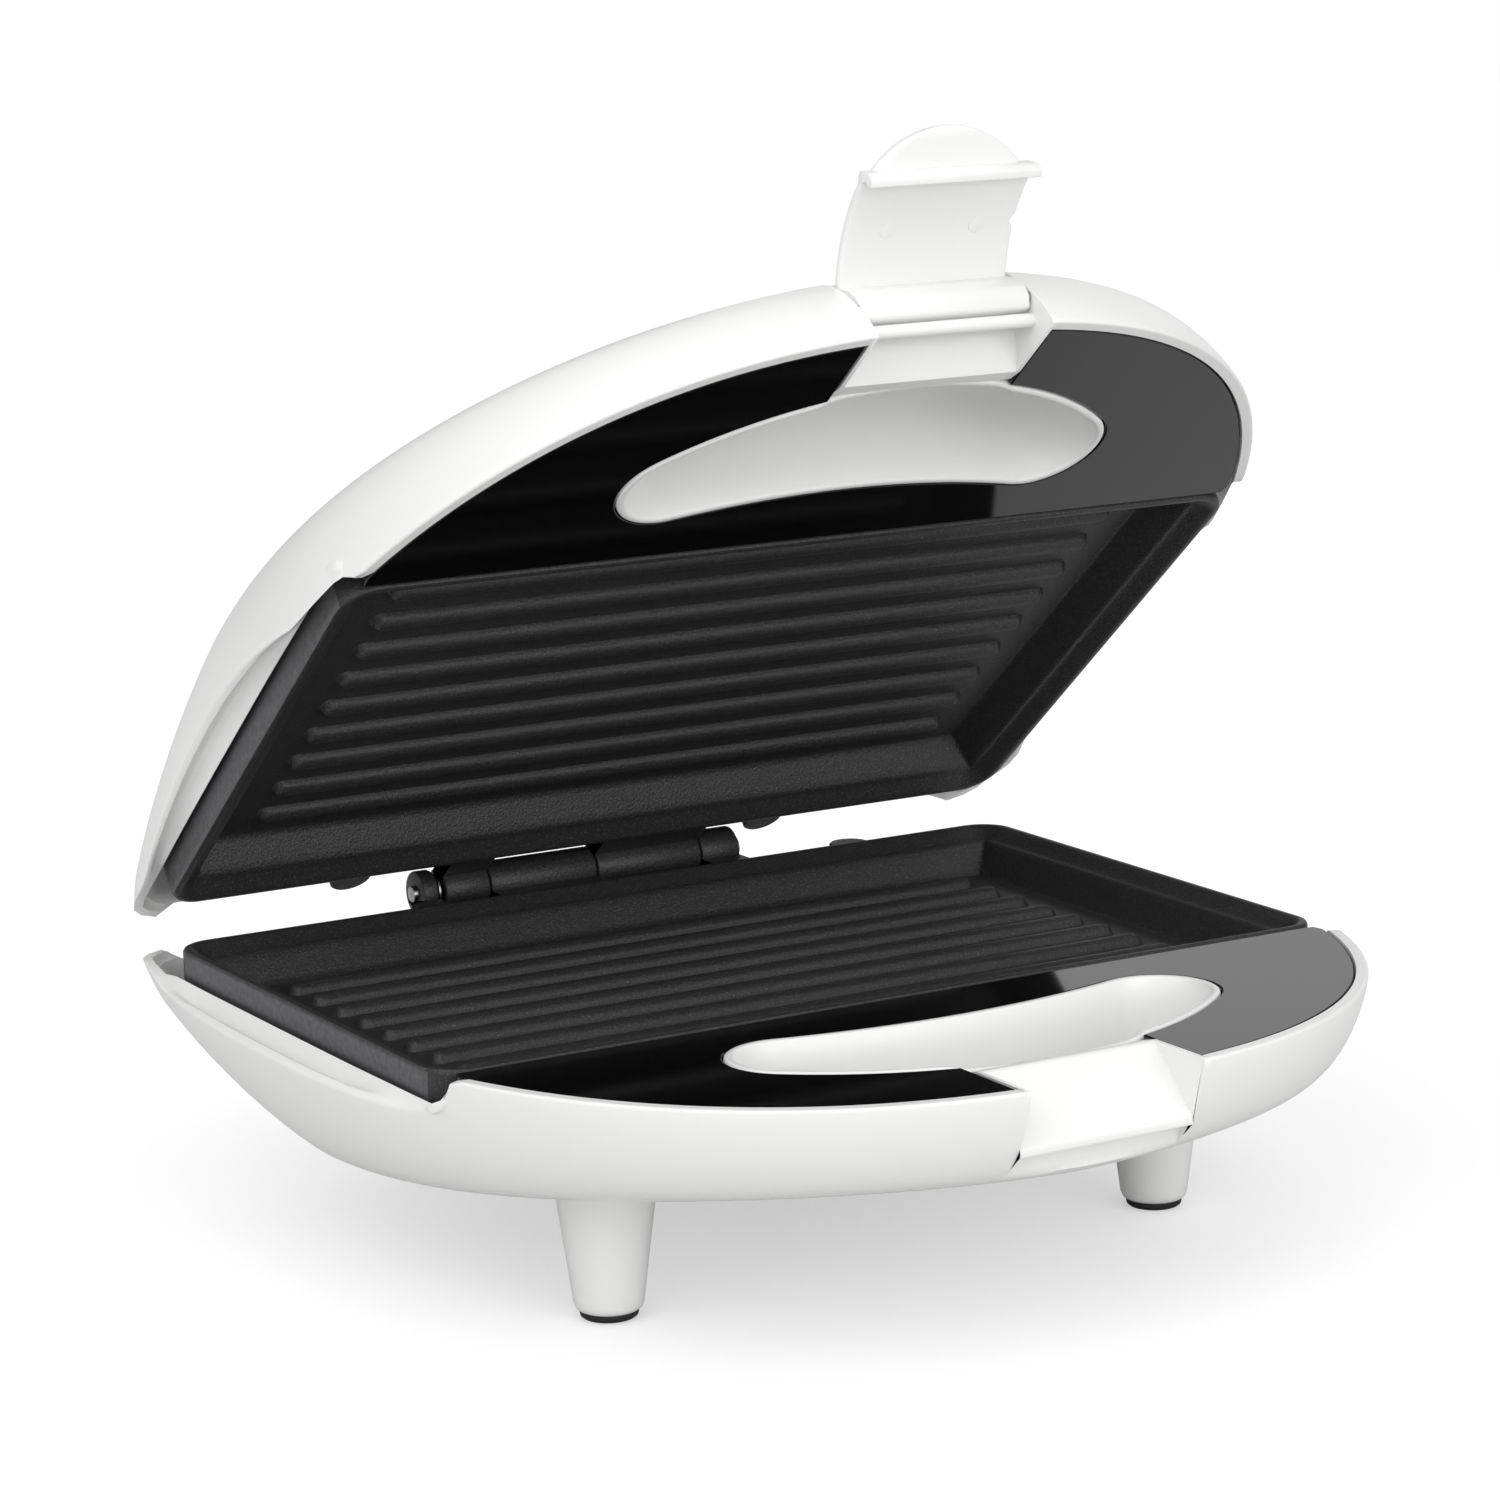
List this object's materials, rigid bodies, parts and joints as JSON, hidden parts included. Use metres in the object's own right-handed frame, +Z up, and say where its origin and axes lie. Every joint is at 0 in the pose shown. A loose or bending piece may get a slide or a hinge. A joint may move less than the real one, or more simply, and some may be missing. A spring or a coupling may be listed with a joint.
{
  "type": "panini press",
  "caption": "Clamshell electric panini press with ribbed grill plates, hinged lid, front snap latch and short legs.",
  "frame": {"origin": "on the worktop, under the middle of the bounding box with the lid open at rest", "axes": "+Z up, -Y towards the user (front, latch side), +X to the user's right"},
  "size_m": [0.2454, 0.2484, 0.2536],
  "materials": {
    "white_plastic": "semi-gloss moulded",
    "black_plastic": "satin moulded",
    "grill_coating": "non-stick coating on cast aluminium",
    "element": "dull oxidised sheath",
    "steel": "zinc-plated",
    "reflector": "rolled sheet",
    "rubber": "matte",
    "ceramic": "matte",
    "fuse_brass": "satin",
    "nylon": "matte",
    "red_lens": "clear-tinted",
    "green_lens": "clear-tinted",
    "lamp_glass": "clear",
    "wire_sleeve": "braided glass-fibre sleeve"
  },
  "bodies": {
    "base": {"base_shell": "white_plastic", "foot_pads": "rubber", "base_bezel": "black_plastic", "base_plate": "grill_coating", "base_heater": "element", "base_heater_clamps": "steel", "base_reflector": "reflector", "base_plate_screws": "steel", "thermostat": "ceramic", "terminal_block": "ceramic", "cord_bushing": "white_plastic", "cord_clamp": "nylon", "base_wires": "wire_sleeve", "hinge_pin": "steel", "hinge_clip": "steel"},
    "lid": {"lid_shell": "white_plastic", "lid_bezel": "black_plastic", "lid_plate": "grill_coating", "lid_heater": "element", "lid_heater_clamps": "steel", "lid_reflector": "reflector", "lid_plate_screws": "steel", "lid_plugs": "white_plastic", "lid_wires": "wire_sleeve", "thermal_fuse": "fuse_brass", "power_lens": "red_lens", "ready_lens": "green_lens", "neon_lamps": "lamp_glass", "lamp_holder": "nylon", "latch_pin": "steel"},
    "latch": {"latch": "white_plastic"}
  },
  "joints": [
    {"name": "lid_hinge", "type": "hinge", "parent": "base", "child": "lid", "pos_m": [0, 0.1109, 0.063], "axis": [-1, 0, 0], "range_deg": [-39.3, 60.7]},
    {"name": "latch_hinge", "type": "hinge", "parent": "lid", "child": "latch", "pos_m": [0, -0.06036, 0.2161], "axis": [-1, 0, 0], "range_deg": [-134, 0]}
  ]
}
